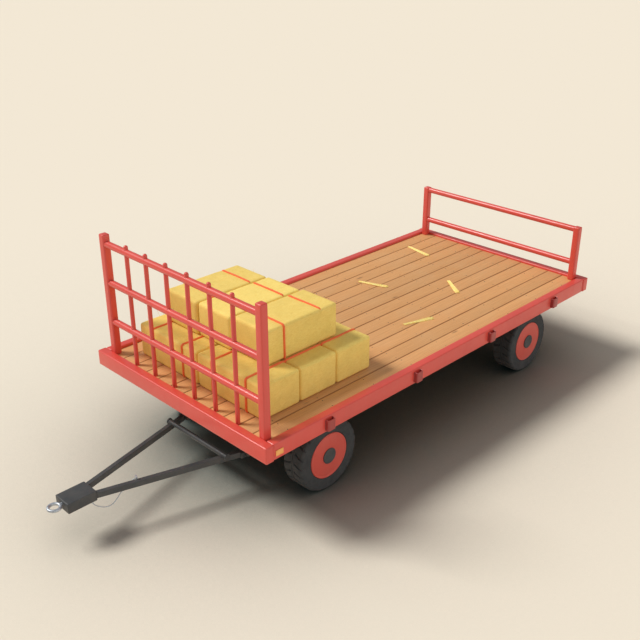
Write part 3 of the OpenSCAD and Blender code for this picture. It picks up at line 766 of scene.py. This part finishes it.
def tyre_surface(centre, side, bead_r, outer_r, half_width, shoulder):
    """Tyre: a closed outline of two beads, two side walls and a crown, turned round the axle.
    The crown sinks into grooves: one runs round its middle, and slanting ones part the blocks."""
    turn = np.radians(np.linspace(0, 90, 9))
    wall_low, wall_high = bead_r + 0.006, outer_r - shoulder
    up_wall = np.linspace(0.15, 1, 7)
    left = np.concatenate([
        [(bead_r, 0.03), (bead_r, 0.012), (wall_low, 0.003)],
        np.column_stack([wall_low + up_wall * (wall_high - wall_low),
                         0.0025 * (1 - np.sin(math.pi * up_wall))]),
        np.column_stack([wall_high + shoulder * np.sin(turn), shoulder - shoulder * np.cos(turn)])[1:]])
    left[:, 1] -= half_width
    crown_y = np.linspace(-half_width + shoulder, half_width - shoulder, 38)[1:-1]
    crown = np.column_stack([np.full(len(crown_y), outer_r), crown_y])
    profile = np.concatenate([left, crown, left[::-1] * [1, -1], left[:1]])
    sides, blocks = 336, 24
    angle = round_angles(sides)
    radius, along = profile[:, :1], profile[:, 1:]
    share = np.clip((radius - wall_high) / (outer_r - wall_high), 0, 1)
    slant = angle + np.abs(along) / half_width * 0.13
    phase = (slant * blocks / (2 * math.pi)) % 1
    across = np.clip((0.10 - np.abs(phase - 0.5)) / 0.03, 0, 1)
    outer_zone = np.clip((np.abs(along) - 0.12 * half_width) / 0.006, 0, 1)
    middle_cut = np.clip(1.8 - np.abs(along) / 0.0035, 0, 1)
    depth = np.maximum(0.010 * across * outer_zone, 0.006 * middle_cut) * np.clip(share * 1.6, 0, 1)
    radius = radius - depth
    points = on_axes(0, radius * np.cos(angle), along * side, radius * np.sin(angle))
    faces = grid_faces(len(profile), sides)
    faces = faces if side < 0 else [face[::-1] for face in faces]
    return points.reshape(-1, 3) + np.array(centre), faces


def tyre_rubber():
    """Black rubber, greyer in dusty patches, with a fine grain."""
    made, tree, shader = material("tyre_rubber", (0.028, 0.028, 0.030), 0.78)
    where = place_of(tree)
    film = ramp(tree, noise(tree, where, 9.0, 6.0, 0.6), [(0.35, 0.02), (0.8, 0.22)])
    feed(shader, Base_Color=mix(tree, film, (0.027, 0.029, 0.031), (0.15, 0.145, 0.135)),
         Roughness=ramp(tree, noise(tree, where, 25.0, 3.0), [(0.3, 0.68), (0.7, 0.88)]))
    bump(tree, shader, noise(tree, where, 260.0, 3.0), 0.2, 0.0006)
    return made


rubber = tyre_rubber()
wheel_red = enamel("wheel_enamel", (0.66, 0.080, 0.055), 0.9)
hub_grey = chassis_black("hub_grey", (0.046, 0.051, 0.054), 0.12)
shoulder_r, bead_gap = 0.032, 0.0005
rim_wall, bore_r, hub_r, axle_r, axle_end, pole_r = 0.0135, 0.062, 0.060, 0.0305, 0.06, 0.0001
for name, side in (("front_left", 1), ("front_right", -1), ("rear_left", 1), ("rear_right", -1)):
    low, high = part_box(name + "_tyre")
    centre = (low + high) / 2
    outer_r, half_width = (high.z - low.z) / 2, (high.y - low.y) / 2
    rim_low, rim_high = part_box(name + "_rim")
    rim_r = (rim_high.z - rim_low.z) / 2
    hub_low, hub_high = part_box(name + "_hub")
    cap_r = (hub_high.z - hub_low.z) / 2
    face = half_width - 0.001
    back = 0.012 - face
    inner, top = sorted((side * (hub_low.y - centre.y), side * (hub_high.y - centre.y)))
    tyre = tyre_surface(centre, side, rim_r + bead_gap, outer_r, half_width, shoulder_r)
    rim_profile = [
        (rim_r - rim_wall, back), (rim_r, back), (rim_r, face - 0.006), (rim_r - 0.001, face - 0.002),
        (rim_r - 0.004, face), (rim_r - 0.012, face), (rim_r - 0.016, face - 0.0025),
        (rim_r - 0.022, face - 0.003), (rim_r - 0.030, face - 0.0015), (cap_r + 0.03, face - 0.001),
        (cap_r + 0.008, face), (bore_r, face), (bore_r, face - 0.013), (rim_r - 0.022, face - 0.014),
        (rim_r - rim_wall, face - 0.02), (rim_r - rim_wall, back)]
    hub_profile = [
        (axle_r, inner), (hub_r - 0.004, inner), (hub_r, inner + 0.004), (hub_r, face + 0.0005),
        (cap_r - 0.001, face + 0.0005), (cap_r, face + 0.002), (cap_r, top - 0.003),
        (cap_r - 0.003, top), (cap_r * 0.5, top), (cap_r * 0.46, top - 0.001),
        (pole_r, top - 0.001), (pole_r, axle_end), (axle_r, axle_end), (axle_r, inner)]
    rim, hub = (lathe(np.array(profile) * [1, side], centre, 1, sides)
                for profile, sides in ((rim_profile, 96), (hub_profile, 64)))
    for part, end, slot, finish, shape in (
            ("_tyre", "_tread", "tyre_rubber", rubber, tyre),
            ("_rim", "_disc", "red_paint", wheel_red, rim),
            ("_hub", "_cap", "hub_paint", hub_grey, hub)):
        piece(name + part + end, [shape], name + "_wheel", finish, [name + part], outward=True)


# ---------- drawbar ----------
# Charcoal-painted arms, cross tube and coupling box. The tow eye is a forged and galvanised
# ring, and the two small anchors of the safety cable are galvanised too.

charcoal = chassis_black("drawbar_charcoal", (0.050, 0.053, 0.055), 0.12)
repaint(charcoal, "drawbar_arms", "drawbar_cross_tube")
repaint(zinc, "tow_eye", "cable_anchors")
repaint(dark_steel, "drawbar_hinge_pins")
piece("coupling_box_case", [rounded_bar(*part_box("coupling_box"), 0, 0.008, 4, 6)], "drawbar",
      charcoal, ["coupling_box"])


# ---------- bales ----------
# Small square bales: pressed straw in slices, bound by two turns of orange twine. Each is a
# block with soft edges that swells between its twines.

def value_noise(points, size, seed):
    """Smooth noise from -1 to 1: random values on a lattice of that size, blended by a cubic
    step between the eight lattice points round each place."""
    cells = 32
    lattice = np.random.default_rng(seed).uniform(-1, 1, (cells,) * 3)
    scaled = points / size
    cell = np.floor(scaled).astype(int)
    f = scaled - cell
    f = f * f * (3 - 2 * f)
    total = np.zeros(len(points))
    for corner in np.ndindex(2, 2, 2):
        weight = np.prod(np.where(corner, f, 1 - f), axis=1)
        total += weight * lattice[tuple(((cell + corner) % cells).T)]
    return total


def block_grid(half, step):
    """Points and faces on the six sides of a box round the origin, in squares of about step."""
    parts = []
    for axis in range(3):
        b, c = (axis + 1) % 3, (axis + 2) % 3
        nb, nc = (max(2, int(round(2 * half[k] / step)) + 1) for k in (b, c))
        row, column = np.linspace(-half[b], half[b], nb)[:, None], np.linspace(-half[c], half[c], nc)
        faces = grid_faces(nb, nc, False)
        for sign, turned in ((-1, faces), (1, [face[::-1] for face in faces])):
            parts.append((on_axes(axis, sign * half[axis], row, column).reshape(-1, 3), turned))
    return parts


def bale_surface(low, high, long_axis, seed, edge=0.029):
    """Bale: a point on a box is drawn in to the inner box and set back out by the edge radius,
    which rounds every edge. It then sinks by a narrow bell curve at each twine and by noise,
    coarse for lumps and fine for straw ends."""
    middle, half = middle_and_half(low, high)
    grid_step, pinch_width, slice_pitch = 0.0125, 0.022, 0.092
    parts = []
    for points, faces in block_grid(half, grid_step):
        inner = np.clip(points, -(half - edge), half - edge)
        out = points - inner
        out /= np.maximum(np.linalg.norm(out, axis=1, keepdims=True), 1e-9)
        shaped = inner + out * edge
        along = shaped[:, long_axis]
        pinch = sum(np.exp(-((along - s * twine_place) / pinch_width) ** 2) for s in (-1, 1))
        end_tuck = np.clip(10 * (np.abs(along) / half[long_axis] - 0.9), 0, 1)
        world = shaped + middle
        lumps = value_noise(world, 0.11, seed) * 0.5 + 0.5
        waver = 2 * value_noise(world, 0.2, seed + 1)
        slices = 0.5 + 0.5 * np.cos(along * 2 * math.pi / slice_pitch + waver)
        fine = value_noise(world, 0.017, seed + 2) * 0.5 + 0.5
        sink = 0.004 * pinch + 0.0022 * lumps + 0.001 * slices**6 + 0.0009 * fine + 0.001 * end_tuck
        parts.append((world - out * sink[:, None], faces))
    return parts


def straw_finish():
    """Pressed straw: short pale and dark fibres in three crossing directions, browner in
    patches, with a shade of its own for each bale and a bump of the same fibres."""
    made, tree, shader = material("pressed_straw", (0.85, 0.55, 0.12), 0.82)
    first, second, third = (noise(tree, place_of(tree, scale, turn), 1.0, 3.0, 0.6) for scale, turn in (
        ((30, 160, 160), (0.2, 0.5, 0.7)), ((160, 26, 150), (0.9, 0.1, -0.5)),
        ((150, 150, 30), (0.3, -0.6, 0.4))))
    fibres = mix(tree, 0.5, mix(tree, 0.5, first, second, "LIGHTEN"), third, "LIGHTEN")
    base = ramp(tree, fibres, [(0.34, (0.86, 0.56, 0.125)), (0.52, (0.95, 0.685, 0.175)),
                               (0.70, (1.0, 0.76, 0.245))])
    patches = ramp(tree, noise(tree, place_of(tree), 7.0, 4.0),
                   [(0.35, (0.95, 0.945, 0.91)), (0.65, (1.03, 1.02, 1.02))])
    base = mix(tree, 1.0, base, patches, "MULTIPLY")
    own = add(tree, "Attribute", attribute_name="tint").outputs["Fac"]
    tone = ramp(tree, own, [(0.0, (0.88, 0.84, 0.74)), (1.0, (1.04, 1.07, 1.06))])
    feed(shader, Base_Color=mix(tree, 1.0, base, tone, "MULTIPLY"))
    bump(tree, shader, fibres, 0.22, 0.0025)
    return made


def bale_twine(low, high, long_axis, place, sink, bite, seed):
    """Twine: the round-cornered rectangle of the bale's section, a little inside its surface,
    at one place along it, with a slight wander along the bale. It may bite deeper into the
    two upright sides than into the top."""
    middle, half = middle_and_half(low, high)
    half -= sink
    b, c = (long_axis + 1) % 3, (long_axis + 2) % 3
    half[1 - long_axis] -= bite
    bend, spacing, wander = 0.024, 0.018, 0.004
    turn = np.radians(np.linspace(0, 90, 7) + 90 * np.arange(4)[:, None])
    sign_b, sign_c = np.array([[1, -1, -1, 1], [1, 1, -1, -1]])[..., None]
    line = on_axes(long_axis, middle[long_axis] + place,
                   middle[b] + sign_b * (half[b] - bend) + bend * np.cos(turn),
                   middle[c] + sign_c * (half[c] - bend) + bend * np.sin(turn)).reshape(-1, 3)
    leap = np.roll(line, -1, 0) - line
    steps = np.maximum(1, (np.linalg.norm(leap, axis=1) / spacing).astype(int))
    start = np.repeat(np.arange(len(line)), steps)
    share = (np.arange(len(start)) - (np.cumsum(steps) - steps)[start]) / steps[start]
    dense = line[start] + leap[start] * share[:, None]
    dense[:, long_axis] += wander * value_noise(dense, 0.16, seed)
    return tube(dense, twine_r, 8, np.eye(3)[long_axis], closed=True, ripple=0.05, lay=0.5)


def straws(bases, directions, lengths, radius, bend, seed):
    """Loose stalks: each is three triangular rings along a line that starts at a base and
    bends sideways by a share of its length. All stalks are worked out as one array."""
    rng = np.random.default_rng(seed)
    directions = directions / np.linalg.norm(directions, axis=1, keepdims=True)
    side = np.cross(directions, rng.normal(size=directions.shape))
    side /= np.linalg.norm(side, axis=1, keepdims=True)
    other = np.cross(directions, side)
    share = np.array([0.0, 0.5, 1.0])[:, None]
    lengths = lengths[:, None, None]
    centre = (bases[:, None] + directions[:, None] * lengths * share
              + side[:, None] * bend[:, None, None] * lengths * share**2)
    angle = np.radians([0, 120, 240])[:, None]
    ring = np.cos(angle) * side[:, None] + np.sin(angle) * other[:, None]
    taper = np.array([1.0, 0.95, 0.75])[:, None, None]
    points = centre[:, :, None] + radius * taper * ring[:, None]
    first = 9 * np.arange(len(bases))[:, None, None]
    faces = (first + grid_faces(3, 3)).reshape(-1, 4).tolist()
    ends = (first + [[2, 1, 0], [6, 7, 8]]).reshape(-1, 3).tolist()
    return points.reshape(-1, 3), faces + ends


def stray_straws(low, high, count, seed):
    """Stalks that lie on a bale's sides and top: they start just under the surface and point
    mostly along it, slightly outwards."""
    rng = np.random.default_rng(seed)
    middle, half = middle_and_half(low, high)
    half -= 0.008
    axis = rng.choice(3, count, p=[0.36, 0.34, 0.30])
    sign = np.where(axis == 2, 1.0, rng.choice([-1.0, 1.0], count))
    bases = middle + rng.uniform(-0.92, 0.92, (count, 3)) * half
    rows = np.arange(count)
    bases[rows, axis] = middle[axis] + sign * half[axis]
    directions = rng.normal(size=(count, 3))
    directions[rows, axis] = sign * rng.uniform(0.0, 0.08, count)
    lengths = rng.uniform(0.03, 0.085, count)
    return straws(bases, directions, lengths, 0.0013, rng.uniform(-0.25, 0.25, count), seed + 1)


def twine_finish():
    """Orange baler twine: pale and dark split fibres, slightly fuzzy."""
    made, tree, shader = material("orange_twine", (0.80, 0.13, 0.03), 0.6)
    fibre = noise(tree, place_of(tree), 420.0, 2.0)
    base = ramp(tree, fibre, [(0.35, (0.86, 0.125, 0.022)), (0.65, (1.0, 0.20, 0.045))])
    feed(shader, Base_Color=base, Sheen_Weight=0.15)
    bump(tree, shader, fibre, 0.3, 0.0008)
    return made


bale_l, bale_w = 0.880, 0.452
twine_place, twine_r, twine_sink = 0.228, 0.0112, 0.003
upper_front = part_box("front_beam")[1].x - 0.285
upper_back = (0.262, 0.232, 0.220)
low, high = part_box("lower_bales")
pitch = (high.x - low.x - bale_w) / 2
lower_boxes = [((high.x - row * pitch - bale_w, y, low.z), (high.x - row * pitch, y + bale_l, high.z))
               for row in range(3) for y in (low.y, high.y - bale_l)]
low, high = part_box("upper_bales")
pitch = (high.y - low.y - bale_w) / 2
upper_boxes = [((upper_front - back - bale_l, high.y - k * pitch - bale_w, low.z),
                (upper_front - back, high.y - k * pitch, high.z)) for k, back in enumerate(upper_back)]

straw = straw_finish()
orange_twine = twine_finish()
for layer, boxes, axis, back_bite, shades in (
        ("lower_bales", lower_boxes, 1, 0.0, (0.62, 0.45, 0.70, 0.55, 0.75, 0.60)),
        ("upper_bales", upper_boxes, 0, 0.016, (0.45, 1.0, 0.55))):
    parts, tints, loops, loose = [], [], [], []
    for index, (low, high) in enumerate(boxes):
        seed = 100 * axis + 10 * index
        sides = bale_surface(low, high, axis, seed)
        parts += sides
        tints += [shades[index]] * len(sides)
        loops += [bale_twine(low, high, axis, s * twine_place, twine_sink, bite, seed + 3 + s)
                  for s, bite in ((-1, back_bite), (1, 0.0))]
        loose.append(stray_straws(low, high, 150, seed + 7))
    piece(layer + "_straw", parts, "chassis", straw, [layer], tints=tints)
    piece(layer + "_twine", loops, "chassis", orange_twine)
    piece(layer + "_stalks", loose, "chassis", straw, smooth=False)


# ---------- straw on the deck ----------
# Four small wisps of straw that fell from the bales. Each is a flat bundle of stalks.

def wisp(start, end, width, count, seed):
    """Wisp: stalks that lie near the line from start to end, thicker in its middle, and
    heaped a few millimetres high."""
    rng = np.random.default_rng(seed)
    start, end = np.array(start, float), np.array(end, float)
    total = np.linalg.norm(end - start)
    along = (end - start) / total
    across = np.array([-along[1], along[0], 0.0])
    lengths = rng.uniform(0.7, 0.97, count) * total
    begin = rng.uniform(0, 1, count) * (total - lengths)
    aside = rng.uniform(-1, 1, count)
    height = 0.003 + rng.uniform(0, 0.005, count) * (1 - np.abs(aside)) ** 0.5
    bases = start + along * begin[:, None] + across * (width / 2 * aside)[:, None]
    bases[:, 2] += height
    directions = along + across * rng.normal(0, 0.02, count)[:, None]
    return straws(bases, directions, lengths, stalk_r, rng.uniform(-0.02, 0.02, count), seed + 1)


wisp_ends = [((-1.862, -0.932), (-1.794, -0.553)), ((-0.587, -0.617), (-0.700, -0.270)),
             ((-1.335, 0.103), (-1.127, 0.398)), ((-0.070, 0.490), (-0.416, 0.607))]
wisp_w, stalk_r, stalks = 0.034, 0.0028, 200
wisps = [wisp((x0 + deck_middle_x, y0, deck_top), (x1 + deck_middle_x, y1, deck_top), wisp_w, stalks,
              40 + k) for k, ((x0, y0), (x1, y1)) in enumerate(wisp_ends)]
pale, tree, shader = material("loose_straw", (0.94, 0.70, 0.25), 0.7)
streaks = noise(tree, place_of(tree), 60.0, 3.0)
feed(shader, Base_Color=ramp(tree, streaks, [(0.35, (1.0, 0.74, 0.20)), (0.65, (1.0, 0.86, 0.36))]))
piece("deck_straw_wisps", wisps, "chassis", pale, smooth=False)


# ---------- floor and light ----------
# A plain cream floor, one broad soft sun from the front right, a low fill from the left and
# an even pale sky. The floor that the camera sees has painted shade: its colour darkens near
# the wagon and under it, and its shading leans towards the sun, which deepens the sun's shadow
# on it. The camera sees through it from below.

floor_mesh = bpy.data.meshes.new("floor")
reach = 60.0
floor_mesh.from_pydata([(-reach, -reach, 0), (reach, -reach, 0), (reach, reach, 0),
                        (-reach, reach, 0)], [], [(0, 1, 2, 3)])
floor = bpy.data.objects.new("floor", floor_mesh)
bpy.context.scene.collection.objects.link(floor)
floor_finish, tree, plain_floor = material("cream_floor", (0.845, 0.760, 0.625), 0.95)
# Painted shade: ambient occlusion within 6 m takes the floor colour from cream down to a dark grey-teal near
# the wagon and under it.
openness = add(tree, "AmbientOcclusion", samples=16, Distance=6.0).outputs["AO"]
openness = in_order(tree, "Math", openness, 1.35, operation="POWER")
shade = mix(tree, openness, (0.012, 0.044, 0.048), (0.840, 0.755, 0.626))
lean = add(tree, "CombineXYZ", X=0.215, Y=-0.293, Z=0.932).outputs[0]
seen_floor = add(tree, "BsdfDiffuse", Color=shade, Normal=lean).outputs[0]
to_camera = add(tree, "LightPath").outputs["Is Camera Ray"]
underside = add(tree, "NewGeometry").outputs["Backfacing"]
from_below = in_order(tree, "Math", to_camera, underside, operation="MULTIPLY")
from_above = in_order(tree, "MixShader", to_camera, plain_floor.outputs[0], seen_floor)
see_through = add(tree, "BsdfTransparent").outputs[0]
feed(tree.nodes["Material Output"],
     Surface=in_order(tree, "MixShader", from_below, from_above, see_through))
floor_mesh.materials.append(floor_finish)


def lamp(name, towards, energy, angle, colour):
    """A sun whose light comes from the direction towards, spread over an angle in degrees."""
    data = bpy.data.lights.new(name, "SUN")
    data.energy = energy
    data.angle = math.radians(angle)
    data.color = colour
    made = bpy.data.objects.new(name, data)
    bpy.context.scene.collection.objects.link(made)
    made.rotation_euler = (-Vector(towards)).to_track_quat("-Z", "Y").to_euler()


lamp("sun", (0.40, -0.546, 0.735), 2.55, 19, (1.0, 0.985, 0.96))
lamp("side_fill", (-0.15, 0.96, 0.17), 0.88, 60, (1.0, 1.0, 1.0))

world = bpy.data.worlds.new("pale_sky")
bpy.context.scene.world = world
world.use_nodes = True
tree = world.node_tree
sky = feed(tree.nodes["Background"], Color=(0.96, 1.0, 1.03, 1), Strength=0.335).outputs[0]
backdrop = add(tree, "Background", Color=(0.887, 0.807, 0.665, 1), Strength=1.0).outputs[0]
to_camera = add(tree, "LightPath").outputs["Is Camera Ray"]
feed(tree.nodes["World Output"], Surface=in_order(tree, "MixShader", to_camera, sky, backdrop))
bpy.context.scene.view_settings.view_transform = "Standard"
